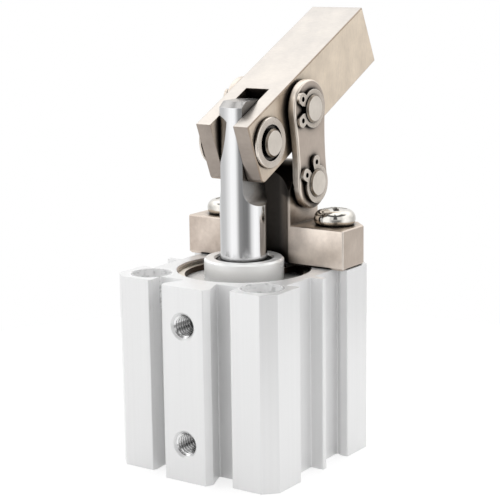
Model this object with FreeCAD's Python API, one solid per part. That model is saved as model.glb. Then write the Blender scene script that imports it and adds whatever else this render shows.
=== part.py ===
import FreeCAD, Part
import os
from math import acos, atan2, cos, degrees, hypot, radians, sin, sqrt

# Lever clamp cylinder: a compact double-acting air cylinder that swings a linked clamp arm.
# All lengths are millimetres. The origin is on the rod axis at the bottom face of the barrel.
# +Z runs up along the rod, the two ports are on the -Y face and the arm reaches out over +Y.

Vector = FreeCAD.Vector
across = Vector(1, 0, 0)
ahead = Vector(0, 1, 0)
up = Vector(0, 0, 1)

# Gaps shared by all fits, and two lengths that only the construction needs
running_gap = 0.05
face_gap = 0.1
seat_gap = 0.05
overcut = 1.0
near = 0.01

# Barrel, an extruded aluminium section
body_width = 40.0
body_height = 41.0
corner_chamfer = 2.7
edge_round = 0.3
bore_dia = 25.0
mouth_dia = 28.0
mouth_chamfer = 0.4
bolt_pitch = 28.0
bolt_dia = 5.0
bolt_clearance = 0.25
counterbore_dia = 8.6
counterbore_depth = 5.4
clip_groove_dia = 29.4

# Sensor grooves on three sides
groove_depth = 3.0
groove_mouth_edge = 9.2
groove_floor_edge = 10.1
groove_lip = 1.75
groove_rib_width = 1.4

# Port side, with a rib between two undercut grooves
port_groove_edge = 10.2
port_groove_lip_edge = 9.85
port_groove_lip = 1.1
port_groove_depth = 4.2
port_rib_height = 2.2
port_rib_width = 10.2
port_rib_shoulder_width = 11.7
port_rib_shoulder = 0.5
port_rib_root_width = 8.0
port_dia = 5.0
port_chamfer = 0.45
port_depth = 6.0
port_passage_dia = 2.2
port_low_z = 8.0
port_top_inset = 8.1

# Covers, clips and seals in the bore
clip_thickness = 1.2
clip_inset = 1.0
clip_ring_width = 2.0
clip_ear_gap = 0.25
clip_ear_width = 3.0
clip_ear_corner = 1.4
clip_ear_hole_dia = 1.6
clip_gap_angle = 24.0
flange_thickness = 2.3
rear_cover_top = 8.0
rear_recess_dia = 16.0
rear_recess_depth = 0.8
rod_cover_length = 10.0
spigot_land = 0.25
o_ring_section = 1.3
o_ring_groove_width = 1.9
relief_dia = 22.0
bumper_outer_dia = 20.0
bumper_inner_dia = 15.0
bumper_thickness = 1.2
bumper_stand = 0.2
collar_dia = 17.0
collar_rise = 2.45
collar_chamfer = 0.4
collar_opening_dia = 12.0
collar_lip = 1.0
seal_outer_dia = 14.4
seal_height = 3.4
seal_lip_dia = 11.8
seal_lip_rise = 0.7
bush_wall = 1.15

# Piston and rod, with the stroke that is left above the pose that is drawn
stroke_out = 6.2
piston_length = 8.5
rod_dia = 10.0
rod_spigot_dia = 7.0
rod_spigot_web = 1.5
piston_seal_width = 2.3
piston_seal_depth = 2.6
piston_seal_inset = 1.2
piston_seal_chamfer = 0.5
magnet_width = 2.4
magnet_depth = 2.2
magnet_recess = 0.3
magnet_inset = 1.3
piston_screw_dia = 4.0
piston_screw_head_dia = 7.0
piston_screw_head = 3.0
piston_screw_length = 12.0
piston_screw_socket = 3.0
piston_screw_socket_depth = 1.5

# Rod end, milled to a tongue that fits the slot of the arm
rod_pin_rise = 27.2
rod_top_rise = 8.5
rod_top_chamfer = 1.2
tongue_width = 5.6
tongue_depth = 9.8
tongue_cutter_dia = 8.0
pin_dia = 6.0
pin_chamfer = 0.4

# Clamp arm, a bar with a fork milled in its tail
arm_width = 13.2
arm_height = 13.5
arm_tilt = 25.8
arm_reach = 45.6
arm_tail_top = 5.0
arm_tail_bottom = 5.8
arm_tail_round = 1.2
arm_edge_chamfer = 0.2
fork_depth = 9.85
arm_pivot_length = 13.85

# Turn of the arm and of the links for each millimetre that the rod rises, in degrees
arm_turn_per_mm = 4.161
link_turn_per_mm = 1.805

# Link plates
link_thickness = 2.0
link_top_radius = 6.1
link_foot_radius = 5.6
link_side_radius = 60.0
link_edge_round = 0.5
pin_overhang = 1.3
clevis_pin_y = 13.8
clevis_pin_rise = 17.2

# Clevis
clevis_height = 8.6
clevis_front_y = 7.4
clevis_rear_y = 18.8
clevis_rear_chamfer = 2.9
clevis_front_chamfer = 0.25
clevis_rim_chamfer = 0.2
clevis_foot_chamfer = 0.5
post_width = 13.8
post_end_radius = 4.7
post_shoulder_drop = 0.9
rod_scoop_dia = 19.5
scoop_flare = 0.8

# Retaining rings on the pins
ring_thickness = 0.7
ring_groove_depth = 0.2
ring_outer_dia = 8.2
ring_offset = 0.3
ring_gap_angle = 24.0
ring_ear_angle = 30.0
ring_ear_reach = 5.9
ring_ear_width = 2.6
ring_ear_corner = 1.1
ring_ear_hole_dia = 1.1
ring_ear_hole_inset = 1.4
rod_pin_ring_dia = 10.7
rod_pin_ring_chamfer = 0.15
rod_pin_ring_recess = 0.4
rod_pin_ring_recess_dia = 7.6
rod_pin_overhang = 0.8
link_pin_ring_turn = 180.0
clevis_pin_ring_turn = 122.0

# Clevis screws, pan head with a cross recess
screw_head_dia = 9.1
screw_head_height = 3.6
screw_head_crown = 5.2
screw_head_round = 0.5
screw_length = 20.0
screw_tip_chamfer = 0.4
screw_thread_spare = 1.5
recess_width = 1.3
recess_length = 5.0
recess_floor_length = 1.5
recess_depth = 2.2
recess_angle = 40.0

# Places that follow from the sizes above
bore_radius = bore_dia / 2
mouth_radius = mouth_dia / 2
rod_radius = rod_dia / 2
pin_radius = pin_dia / 2
half_bolt = bolt_pitch / 2
bolt_hole_radius = bolt_dia / 2 + bolt_clearance
spigot_radius = bore_radius - seat_gap
flange_radius = mouth_radius - seat_gap
relief_radius = relief_dia / 2
o_ring_floor = bore_radius - o_ring_section
rod_cover_bottom = body_height - rod_cover_length
piston_top = rod_cover_bottom - bumper_stand - seat_gap - stroke_out
piston_bottom = piston_top - piston_length
stroke_in = piston_bottom - seat_gap - bumper_stand - rear_cover_top
port_high_z = body_height - port_top_inset
rod_pin_z = body_height + rod_pin_rise
clevis_pin_z = body_height + clevis_pin_rise
clevis_width = body_width
top_clip_z = body_height - clip_inset - clip_thickness
top_flange_z = top_clip_z - seat_gap - flange_thickness
top_o_ring_z = top_flange_z - spigot_land - o_ring_groove_width
bottom_clip_z = clip_inset
bottom_flange_z = bottom_clip_z + clip_thickness + seat_gap
bottom_seat_z = bottom_flange_z + flange_thickness
bottom_o_ring_z = bottom_seat_z + spigot_land
piston_head_z = piston_bottom + piston_screw_head
rod_spigot_z = piston_head_z + rod_spigot_web
piston_seal_high = piston_top - piston_seal_inset
piston_seal_low = piston_seal_high - piston_seal_width
magnet_low = piston_bottom + magnet_inset
rod_top = rod_pin_z + rod_top_rise
collar_top = body_height + collar_rise
seal_high = collar_top - collar_lip
seal_low = seal_high - seal_height
clevis_top = body_height + clevis_height
clevis_foot = body_height + clevis_foot_chamfer
screw_tip_z = clevis_top - screw_length
post_rear_y = clevis_pin_y + post_end_radius
link_inner_x = post_width / 2 + face_gap
link_outer_x = link_inner_x + link_thickness
tilt = radians(arm_tilt)
link_pin_y = arm_pivot_length * cos(tilt)
link_pin_z = rod_pin_z + arm_pivot_length * sin(tilt)
link_length = hypot(link_pin_y - clevis_pin_y, link_pin_z - clevis_pin_z)
link_lean = atan2(clevis_pin_y - link_pin_y, link_pin_z - clevis_pin_z)


def face_of(points):
    corners = [Vector(*point) for point in points]
    return Part.Face(Part.makePolygon(corners + corners[:1]))


def turned(profile):
    """A solid turned about the rod axis from (radius, height) corners."""
    face = face_of([(radius, 0, height) for radius, height in profile])
    return face.revolve(Vector(0, 0, 0), up, 360)


def upright_tube(outer, inner, low, high):
    return turned([(inner, low), (outer, low), (outer, high), (inner, high)])


def upright_rod(radius, low, high, x=0.0, y=0.0):
    return Part.makeCylinder(radius, high - low, Vector(x, y, low))


def cross_rod(radius, start_x, end_x, y=0.0, z=0.0):
    return Part.makeCylinder(radius, end_x - start_x, Vector(start_x, y, z), across)


def block(x0, x1, y0, y1, z0, z1):
    return Part.makeBox(x1 - x0, y1 - y0, z1 - z0, Vector(x0, y0, z0))


def side_prism(profile, half_width):
    """A solid of constant side view, from (y, z) corners, centred on x = 0."""
    face = face_of([(-half_width, y, z) for y, z in profile])
    return face.extrude(Vector(2 * half_width, 0, 0))


def in_plane(edge, normal, place):
    ends = [vertex.Point.dot(normal) for vertex in edge.Vertexes]
    ends.append(edge.CenterOfMass.dot(normal))
    return all(abs(end - place) < near for end in ends)


def edges_in_plane(shape, normal, place):
    return [edge for edge in shape.Edges if in_plane(edge, normal, place)]


def edges_along(shape, direction):
    chosen = []
    for edge in shape.Edges:
        run = edge.Vertexes[-1].Point - edge.Vertexes[0].Point
        if run.Length > near and run.cross(direction).Length < near * run.Length:
            chosen.append(edge)
    return chosen


def mirrored(shape):
    return shape.mirror(Vector(0, 0, 0), across)


# Barrel

def sensor_side():
    """Half widths and depths of a side with two wide sensor grooves and a thin rib."""
    reach = body_width / 2
    corner = reach - corner_chamfer
    floor = reach - groove_depth
    lip = reach - groove_lip
    rib = groove_rib_width / 2
    half = [(reach, rib), (floor, rib), (floor, groove_floor_edge), (lip, groove_mouth_edge)]
    half += [(reach, groove_mouth_edge), (reach, corner)]
    return [(out, -along) for out, along in reversed(half)] + half


def port_side():
    """The same for the side with the port rib, which stands proud of the corner blocks."""
    reach = body_width / 2
    corner = reach - corner_chamfer
    floor = reach - port_groove_depth
    face = reach + port_rib_height
    half = [(face, port_rib_width / 2), (reach + port_rib_shoulder, port_rib_shoulder_width / 2)]
    half += [(floor, port_rib_root_width / 2), (floor, port_groove_edge)]
    half += [(reach - port_groove_lip, port_groove_lip_edge), (reach, port_groove_edge)]
    half += [(reach, corner)]
    return [(out, -along) for out, along in reversed(half)] + half


def barrel_outline():
    outline = []
    for quarter, side in enumerate([sensor_side(), sensor_side(), sensor_side(), port_side()]):
        turn = radians(90 * quarter)
        for out, along in side:
            x = out * cos(turn) - along * sin(turn)
            y = out * sin(turn) + along * cos(turn)
            outline.append((x, y, 0))
    return outline


def clip_groove(low):
    """Corners of the groove that holds a bore clip, from its lower to its upper edge."""
    start = low - seat_gap
    end = low + clip_thickness + seat_gap
    groove = clip_groove_dia / 2
    return [(mouth_radius, start), (groove, start), (groove, end), (mouth_radius, end)]


def barrel_bore():
    """The space turned out of the barrel: bore, two mouths and their clip grooves."""
    flare = mouth_radius + mouth_chamfer
    profile = [(0, 0), (flare, 0), (mouth_radius, mouth_chamfer)]
    profile += clip_groove(bottom_clip_z)
    profile += [(mouth_radius, bottom_seat_z), (bore_radius, bottom_seat_z)]
    profile += [(bore_radius, top_flange_z), (mouth_radius, top_flange_z)]
    profile += clip_groove(top_clip_z)
    profile += [(mouth_radius, body_height - mouth_chamfer), (flare, body_height), (0, body_height)]
    return turned(profile)


def port_bore(z):
    """A tapped port with its chamfer, and the narrow passage that feeds the bore."""
    mouth = Vector(0, -body_width / 2 - port_rib_height, z)
    radius = port_dia / 2
    tapped = Part.makeCylinder(radius, port_depth, mouth, ahead)
    chamfer = Part.makeCone(radius + port_chamfer, radius, port_chamfer, mouth, ahead)
    passage_length = -mouth.y - bore_radius + overcut
    passage = Part.makeCylinder(port_passage_dia / 2, passage_length, mouth, ahead)
    return tapped.fuse([chamfer, passage])


def make_barrel():
    """The bolt holes at the rear are tapped above the screw tips, for the screws of the clevis."""
    section = face_of(barrel_outline()).extrude(Vector(0, 0, body_height))
    section = section.makeFillet(edge_round, edges_along(section, up))
    head_radius = counterbore_dia / 2
    high = body_height + overcut
    thread_low = screw_tip_z - screw_thread_spare
    tools = [barrel_bore(), port_bore(port_low_z), port_bore(port_high_z)]
    for x in (-half_bolt, half_bolt):
        tools.append(upright_rod(bolt_hole_radius, -overcut, high, x, -half_bolt))
        tools.append(upright_rod(bolt_hole_radius, -overcut, thread_low, x, half_bolt))
        tools.append(upright_rod(bolt_dia / 2, thread_low, high, x, half_bolt))
        for y in (-half_bolt, half_bolt):
            tools.append(upright_rod(head_radius, body_height - counterbore_depth, high, x, y))
    return section.cut(tools)


# Covers, seals and clips in the bore

def o_ring(low):
    """Ring seal squeezed between the bore and the floor of its groove."""
    section_radius = (o_ring_section - near) / 2
    middle = bore_radius - o_ring_section / 2
    return Part.makeTorus(middle, section_radius, Vector(0, 0, low + o_ring_groove_width / 2))


def bumper_ring(low, high):
    return upright_tube(bumper_outer_dia / 2, bumper_inner_dia / 2, low, high)


def make_bumpers():
    """Soft rings sunk in both covers, which stand out a little to catch the piston."""
    rear_high = rear_cover_top + bumper_stand
    front_low = rod_cover_bottom - bumper_stand
    rear = bumper_ring(rear_high - bumper_thickness, rear_high)
    return rear, bumper_ring(front_low, front_low + bumper_thickness)


def make_rod_cover():
    """Turned aluminium cover with the collar that carries the rod."""
    low = rod_cover_bottom
    bush_seat = rod_radius + running_gap + bush_wall
    collar = collar_dia / 2
    opening = collar_opening_dia / 2
    flange_high = top_flange_z + flange_thickness
    profile = [(relief_radius, low), (relief_radius, top_o_ring_z - spigot_land)]
    profile += [(spigot_radius, top_o_ring_z - spigot_land), (spigot_radius, top_o_ring_z)]
    profile += [(o_ring_floor, top_o_ring_z), (o_ring_floor, top_flange_z - spigot_land)]
    profile += [(spigot_radius, top_flange_z - spigot_land), (spigot_radius, top_flange_z)]
    profile += [(flange_radius, top_flange_z), (flange_radius, flange_high), (collar, flange_high)]
    profile += [(collar, collar_top - collar_chamfer), (collar - collar_chamfer, collar_top)]
    profile += [(opening + collar_chamfer, collar_top), (opening, collar_top - collar_chamfer)]
    profile += [(opening, seal_high), (seal_outer_dia / 2, seal_high), (seal_outer_dia / 2, seal_low)]
    profile += [(bush_seat, seal_low), (bush_seat, low)]
    return turned(profile).cut(bumper_ring(low, low + bumper_thickness - bumper_stand))


def make_rear_cover():
    relief_low = bottom_o_ring_z + o_ring_groove_width + spigot_land
    recess = rear_recess_dia / 2
    recess_z = bottom_flange_z + rear_recess_depth
    profile = [(0, recess_z), (recess, recess_z), (recess, bottom_flange_z)]
    profile += [(flange_radius, bottom_flange_z), (flange_radius, bottom_seat_z)]
    profile += [(spigot_radius, bottom_seat_z), (spigot_radius, bottom_o_ring_z)]
    profile += [(o_ring_floor, bottom_o_ring_z), (o_ring_floor, relief_low - spigot_land)]
    profile += [(spigot_radius, relief_low - spigot_land), (spigot_radius, relief_low)]
    profile += [(relief_radius, relief_low), (relief_radius, rear_cover_top), (0, rear_cover_top)]
    seat_low = rear_cover_top - bumper_thickness + bumper_stand
    return turned(profile).cut(bumper_ring(seat_low, rear_cover_top))


def make_rod_bush():
    inner = rod_radius + running_gap
    return upright_tube(inner + bush_wall, inner, rod_cover_bottom, seal_low)


def make_rod_seal():
    """Lip seal with a wiping edge that stands up in the collar opening."""
    inner = rod_radius + running_gap
    outer = seal_outer_dia / 2
    lip = seal_lip_dia / 2
    lip_high = seal_high + seal_lip_rise
    profile = [(inner, seal_low), (outer, seal_low), (outer, seal_high), (lip, seal_high)]
    profile += [(lip - seal_lip_rise / 2, lip_high), (inner, lip_high)]
    return turned(profile)


def make_bore_clip(low):
    """Flat internal clip with two eared holes; its gap points to +Y."""
    high = low + clip_thickness
    outer = clip_groove_dia / 2 - seat_gap
    inner = outer - clip_ring_width
    ear_tip = collar_dia / 2 + clip_ear_gap
    half_gap = outer * sin(radians(clip_gap_angle / 2))
    half_ear = clip_ear_width / 2
    clip = upright_tube(outer, inner, low, high)
    clip = clip.cut(block(-half_gap, half_gap, 0, outer + overcut, low, high))
    for side in (-1, 1):
        ear = block(-half_ear, half_ear, ear_tip, inner + clip_ring_width / 2, low, high)
        tip_edges = [edge for edge in edges_along(ear, up) if in_plane(edge, ahead, ear_tip)]
        ear = ear.makeFillet(clip_ear_corner, tip_edges)
        ear = ear.cut(upright_rod(clip_ear_hole_dia / 2, low, high, 0, ear_tip + half_ear))
        ear_turn = clip_gap_angle / 2 + degrees(2 * half_ear / (inner + ear_tip))
        ear.rotate(Vector(0, 0, 0), up, side * ear_turn)
        clip = clip.fuse(ear)
    return clip.removeSplitter()


# Piston and rod

def make_piston():
    radius = bore_radius - running_gap
    seal_floor = bore_radius - piston_seal_depth
    magnet_floor = bore_radius - magnet_depth
    magnet_high = magnet_low + magnet_width
    profile = [(0, piston_bottom), (radius, piston_bottom), (radius, magnet_low)]
    profile += [(magnet_floor, magnet_low), (magnet_floor, magnet_high), (radius, magnet_high)]
    profile += [(radius, piston_seal_low), (seal_floor, piston_seal_low)]
    profile += [(seal_floor, piston_seal_high), (radius, piston_seal_high)]
    profile += [(radius, piston_top), (0, piston_top)]
    head_radius = piston_screw_head_dia / 2 + face_gap
    head_space = upright_rod(head_radius, piston_bottom - overcut, piston_head_z)
    spigot_hole = upright_rod(rod_spigot_dia / 2, rod_spigot_z, piston_top + overcut)
    shank_hole = upright_rod(piston_screw_dia / 2 + face_gap, piston_bottom, piston_top)
    return turned(profile).cut([head_space, spigot_hole, shank_hole])


def make_piston_seal():
    outer = bore_radius - running_gap / 2
    inner = bore_radius - piston_seal_depth
    shoulder = outer - piston_seal_chamfer
    profile = [(inner, piston_seal_low), (shoulder, piston_seal_low)]
    profile += [(outer, piston_seal_low + piston_seal_chamfer)]
    profile += [(outer, piston_seal_high - piston_seal_chamfer)]
    profile += [(shoulder, piston_seal_high), (inner, piston_seal_high)]
    return turned(profile)


def make_magnet_ring():
    outer = bore_radius - magnet_recess
    return upright_tube(outer, bore_radius - magnet_depth, magnet_low, magnet_low + magnet_width)


def hexagon(across_flats, low, high):
    radius = across_flats / sqrt(3)
    turns = [radians(60 * corner) for corner in range(6)]
    face = face_of([(radius * cos(turn), radius * sin(turn), low) for turn in turns])
    return face.extrude(Vector(0, 0, high - low))


def make_piston_screw():
    """Socket head screw that draws the rod into the piston from below."""
    low = piston_bottom + face_gap
    head = upright_rod(piston_screw_head_dia / 2, low, piston_head_z)
    shank = upright_rod(piston_screw_dia / 2, piston_head_z, piston_head_z + piston_screw_length)
    socket = hexagon(piston_screw_socket, low, low + piston_screw_socket_depth)
    return head.fuse(shank).cut(socket).removeSplitter()


def rod_flat(side):
    """What the cutter takes off one side of the rod end: a flat that runs out in an arc."""
    flat_x = side * tongue_width / 2
    far_x = side * (tongue_width / 2 + tongue_cutter_dia)
    flat_low = rod_pin_z - tongue_depth
    left = min(flat_x, far_x)
    right = max(flat_x, far_x)
    flat = block(left, right, -rod_dia, rod_dia, flat_low, rod_top + overcut)
    middle = Vector((flat_x + far_x) / 2, -rod_dia, flat_low)
    return flat.fuse(Part.makeCylinder(tongue_cutter_dia / 2, 2 * rod_dia, middle, ahead))


def make_piston_rod():
    """Ground rod whose end is milled flat on both sides and drilled for the arm pin."""
    spigot = rod_spigot_dia / 2
    profile = [(0, rod_spigot_z), (spigot, rod_spigot_z), (spigot, piston_top)]
    profile += [(rod_radius, piston_top), (rod_radius, rod_top - rod_top_chamfer)]
    profile += [(rod_radius - rod_top_chamfer, rod_top), (0, rod_top)]
    pin_hole = cross_rod(pin_radius, -rod_dia, rod_dia, 0, rod_pin_z)
    thread_high = piston_head_z + piston_screw_length + overcut
    thread = upright_rod(piston_screw_dia / 2, rod_spigot_z - overcut, thread_high)
    return turned(profile).cut([rod_flat(-1), rod_flat(1), pin_hole, thread])


# Pins and their retaining rings

def make_pin(half_length, y, z):
    pin = cross_rod(pin_radius, -half_length, half_length, y, z)
    ends = edges_in_plane(pin, across, -half_length) + edges_in_plane(pin, across, half_length)
    return pin.makeChamfer(pin_chamfer, ends)


def make_grooved_pin(half_length, y, z, ring_x):
    """A pin with a groove near each end; the +X groove starts at ring_x."""
    end_x = ring_x + ring_thickness
    groove = cross_rod(pin_radius + overcut, ring_x, end_x, y, z)
    groove = groove.cut(cross_rod(pin_radius - ring_groove_depth, ring_x, end_x, y, z))
    return make_pin(half_length, y, z).cut([groove, mirrored(groove)])


def make_retaining_ring(start_x, y, z, turn):
    """Eared ring on the +X end of a pin; turn is the way its gap points, from +Y to +Z."""
    end_x = start_x + ring_thickness
    inner = pin_radius - ring_groove_depth
    half_ear = ring_ear_width / 2
    ring = cross_rod(ring_outer_dia / 2, start_x, end_x, -ring_offset)
    for side in (-1, 1):
        ear = block(start_x, end_x, inner, ring_ear_reach, -half_ear, half_ear)
        tip_edges = [edge for edge in edges_along(ear, across) if in_plane(edge, ahead, ring_ear_reach)]
        ear = ear.makeFillet(ring_ear_corner, tip_edges)
        hole_y = ring_ear_reach - ring_ear_hole_inset
        ear = ear.cut(cross_rod(ring_ear_hole_dia / 2, start_x, end_x, hole_y, 0))
        ear.rotate(Vector(0, 0, 0), across, side * ring_ear_angle)
        ring = ring.fuse(ear)
    wedge_y = 2 * ring_ear_reach * cos(radians(ring_gap_angle / 2))
    wedge_z = 2 * ring_ear_reach * sin(radians(ring_gap_angle / 2))
    wedge = face_of([(start_x, 0, 0), (start_x, wedge_y, -wedge_z), (start_x, wedge_y, wedge_z)])
    gap = wedge.extrude(Vector(ring_thickness, 0, 0))
    ring = ring.cut([gap, cross_rod(inner, start_x, end_x)]).removeSplitter()
    ring.rotate(Vector(0, 0, 0), across, turn)
    ring.translate(Vector(0, y, z))
    return ring


def make_rod_pin_ring():
    """Collar ring pressed on the end of the rod pin, with a shallow recess round the pin."""
    start_x = arm_width / 2 + face_gap
    end_x = start_x + ring_thickness
    ring = cross_rod(rod_pin_ring_dia / 2, start_x, end_x, 0, rod_pin_z)
    rims = edges_in_plane(ring, across, start_x) + edges_in_plane(ring, across, end_x)
    ring = ring.makeChamfer(rod_pin_ring_chamfer, rims)
    recess_x = end_x - rod_pin_ring_recess
    recess = cross_rod(rod_pin_ring_recess_dia / 2, recess_x, end_x, 0, rod_pin_z)
    return ring.cut([recess, cross_rod(pin_radius, start_x, end_x, 0, rod_pin_z)])


# Clamp arm, drawn level with the rod pin at the origin and then tilted into place

def pivot_play():
    """Where the link pin wanders in the arm over the stroke: (along, square) limits."""
    along = []
    square = []
    steps = 40
    for step in range(steps + 1):
        lift = -stroke_in + (stroke_in + stroke_out) * step / steps
        arm_angle = tilt - radians(arm_turn_per_mm) * lift
        lean = link_lean - radians(link_turn_per_mm) * lift
        y = clevis_pin_y - link_length * sin(lean)
        z = clevis_pin_z + link_length * cos(lean) - rod_pin_z - lift
        along.append(y * cos(arm_angle) + z * sin(arm_angle))
        square.append(z * cos(arm_angle) - y * sin(arm_angle))
    return min(along), max(along), min(square), max(square)


def link_pin_slot():
    """Oval hole that clears the link pin at every stroke, hidden behind the link plates."""
    start, end, low, high = pivot_play()
    middle = (low + high) / 2
    radius = pin_radius + (high - low) / 2 + face_gap
    reach = arm_width / 2 + overcut
    near_end = cross_rod(radius, -reach, reach, start, middle)
    far_end = cross_rod(radius, -reach, reach, end, middle)
    bridge = block(-reach, reach, start, end, middle - radius, middle + radius)
    return near_end.fuse([far_end, bridge]).removeSplitter()


def make_clamp_arm():
    half_width = arm_width / 2
    half_height = arm_height / 2
    side = [(-arm_tail_top, half_height), (-arm_tail_bottom, -half_height)]
    side += [(arm_reach, -half_height), (arm_reach, half_height)]
    arm = side_prism(side, half_width)
    heel = [edge for edge in edges_along(arm, across) if in_plane(edge, ahead, -arm_tail_bottom)]
    arm = arm.makeFillet(arm_tail_round, heel)
    sharp = edges_in_plane(arm, across, -half_width) + edges_in_plane(arm, across, half_width)
    arm = arm.makeChamfer(arm_edge_chamfer, sharp)
    half_slot = tongue_width / 2 + face_gap
    fork = block(-half_slot, half_slot, -arm_reach, fork_depth, -arm_height, arm_height)
    rod_pin_hole = cross_rod(pin_radius + running_gap, -arm_width, arm_width)
    arm = arm.cut([fork, rod_pin_hole, link_pin_slot()])
    arm.rotate(Vector(0, 0, 0), across, arm_tilt)
    arm.translate(Vector(0, 0, rod_pin_z))
    return arm


# Link plates, drawn upright on the clevis pin and then leaned over

def link_outline(x):
    """Two round ends joined by hollow sides that meet both of them smoothly."""
    foot = link_foot_radius
    top = link_top_radius
    foot_reach = link_side_radius + foot
    top_reach = link_side_radius + top
    side_z = (foot_reach ** 2 - top_reach ** 2 + link_length ** 2) / (2 * link_length)
    side_y = sqrt(foot_reach ** 2 - side_z ** 2)
    foot_y = foot * side_y / foot_reach
    foot_z = foot * side_z / foot_reach
    top_y = top * side_y / top_reach
    top_z = link_length + top * (side_z - link_length) / top_reach
    waist = side_y - link_side_radius
    foot_front = Vector(x, -foot_y, foot_z)
    foot_rear = Vector(x, foot_y, foot_z)
    top_front = Vector(x, -top_y, top_z)
    top_rear = Vector(x, top_y, top_z)
    return [
        Part.Arc(foot_rear, Vector(x, waist, side_z), top_rear),
        Part.Arc(top_rear, Vector(x, 0, link_length + top), top_front),
        Part.Arc(top_front, Vector(x, -waist, side_z), foot_front),
        Part.Arc(foot_front, Vector(x, 0, -foot), foot_rear),
    ]


def make_link_plate():
    x = link_inner_x
    plate = Part.Face(Part.Wire([arc.toShape() for arc in link_outline(x)]))
    plate = plate.extrude(Vector(link_thickness, 0, 0))
    rim = edges_in_plane(plate, across, x) + edges_in_plane(plate, across, link_outer_x)
    plate = plate.makeFillet(link_edge_round, rim)
    link_hole = cross_rod(pin_radius, x, link_outer_x, 0, link_length)
    clevis_hole = cross_rod(pin_radius + running_gap, x, link_outer_x)
    plate = plate.cut([link_hole, clevis_hole])
    plate.rotate(Vector(0, 0, 0), across, degrees(link_lean))
    plate.translate(Vector(0, clevis_pin_y, clevis_pin_z))
    return plate


# Clevis, a cross bar with a post between the link plates

def post_outline():
    """Side view of the post: a front face, a slope up to the round end, and the rear face."""
    shoulder_z = clevis_pin_z - post_shoulder_drop
    to_y = clevis_pin_y - clevis_front_y
    to_z = clevis_pin_z - shoulder_z
    turn = atan2(-to_z, -to_y) - acos(post_end_radius / hypot(to_y, to_z))
    touch_y = clevis_pin_y + post_end_radius * cos(turn)
    touch_z = clevis_pin_z + post_end_radius * sin(turn)
    x = -post_width / 2
    touch = Vector(x, touch_y, touch_z)
    crest = Vector(x, clevis_pin_y, clevis_pin_z + post_end_radius)
    rear = Vector(x, post_rear_y, clevis_pin_z)
    foot = Vector(x, post_rear_y, clevis_foot)
    toe = Vector(x, clevis_front_y, clevis_foot)
    shoulder = Vector(x, clevis_front_y, shoulder_z)
    return [
        Part.LineSegment(toe, shoulder),
        Part.LineSegment(shoulder, touch),
        Part.Arc(touch, crest, rear),
        Part.LineSegment(rear, foot),
        Part.LineSegment(foot, toe),
    ]


def clevis_bar():
    half = clevis_width / 2
    bar = block(-half, half, clevis_front_y, clevis_rear_y, body_height, clevis_top)
    rear = [edge for edge in edges_along(bar, up) if in_plane(edge, ahead, clevis_rear_y)]
    bar = bar.makeChamfer(clevis_rear_chamfer, rear)
    bar = bar.makeChamfer(clevis_foot_chamfer, edges_in_plane(bar, up, body_height))
    front = [edge for edge in edges_along(bar, up) if in_plane(edge, ahead, clevis_front_y)]
    bar = bar.makeChamfer(clevis_front_chamfer, front)
    return bar.makeChamfer(clevis_rim_chamfer, edges_in_plane(bar, up, clevis_top))


def make_clevis():
    post = Part.Face(Part.Wire([piece.toShape() for piece in post_outline()]))
    post = post.extrude(Vector(post_width, 0, 0))
    scoop_radius = rod_scoop_dia / 2
    scoop = upright_rod(scoop_radius, body_height - overcut, rod_top)
    flare_foot = Vector(0, 0, body_height)
    flare = Part.makeCone(scoop_radius + scoop_flare, scoop_radius, scoop_flare, flare_foot)
    pin_hole = cross_rod(pin_radius, -post_width, post_width, clevis_pin_y, clevis_pin_z)
    tools = [scoop, flare, pin_hole]
    low = body_height - overcut
    for x in (-half_bolt, half_bolt):
        tools.append(upright_rod(bolt_hole_radius, low, clevis_top + overcut, x, half_bolt))
    return clevis_bar().fuse(post).removeSplitter().cut(tools)


# Clevis screws

def cross_recess(top):
    """Two crossed slots that grow narrower and shorter towards the bottom."""
    wings = []
    half_top = recess_length / 2
    half_low = recess_floor_length / 2
    low = top - recess_depth
    high = top + overcut
    side = [(-half_low, low), (half_low, low), (half_top, top), (half_top, high)]
    side += [(-half_top, high), (-half_top, top)]
    for turn in (recess_angle, recess_angle + 90):
        wing = side_prism(side, recess_width / 2)
        wing.rotate(Vector(0, 0, 0), up, turn)
        wings.append(wing)
    return wings


def make_clevis_screw(x):
    """Domed pan head machine screw, drawn on the rod axis and moved to its hole."""
    top = clevis_top + screw_head_height
    crown = Part.makeSphere(screw_head_crown, Vector(0, 0, top - screw_head_crown))
    head = upright_rod(screw_head_dia / 2, clevis_top, top)
    head = head.makeFillet(screw_head_round, edges_in_plane(head, up, clevis_top))
    shank = upright_rod(bolt_dia / 2, screw_tip_z, clevis_top)
    shank = shank.makeChamfer(screw_tip_chamfer, edges_in_plane(shank, up, screw_tip_z))
    screw = head.common(crown).fuse(shank).removeSplitter().cut(cross_recess(top))
    screw.translate(Vector(x, half_bolt, 0))
    return screw


# The whole set of pieces

def bore_pieces():
    rear_bumper, front_bumper = make_bumpers()
    return {
        "barrel": make_barrel(),
        "rear_cover": make_rear_cover(),
        "rear_cover_o_ring": o_ring(bottom_o_ring_z),
        "rear_circlip": make_bore_clip(bottom_clip_z),
        "rear_bumper": rear_bumper,
        "rod_cover": make_rod_cover(),
        "rod_cover_o_ring": o_ring(top_o_ring_z),
        "front_circlip": make_bore_clip(top_clip_z),
        "front_bumper": front_bumper,
        "rod_bush": make_rod_bush(),
        "rod_seal": make_rod_seal(),
    }


def rod_pieces():
    pin_ring = make_rod_pin_ring()
    pin_half = arm_width / 2 + face_gap + ring_thickness + rod_pin_overhang
    return {
        "piston": make_piston(),
        "piston_seal": make_piston_seal(),
        "magnet_ring": make_magnet_ring(),
        "piston_screw": make_piston_screw(),
        "piston_rod": make_piston_rod(),
        "rod_end_pin": make_pin(pin_half, 0, rod_pin_z),
        "rod_pin_ring_right": pin_ring,
        "rod_pin_ring_left": mirrored(pin_ring),
    }


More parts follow.
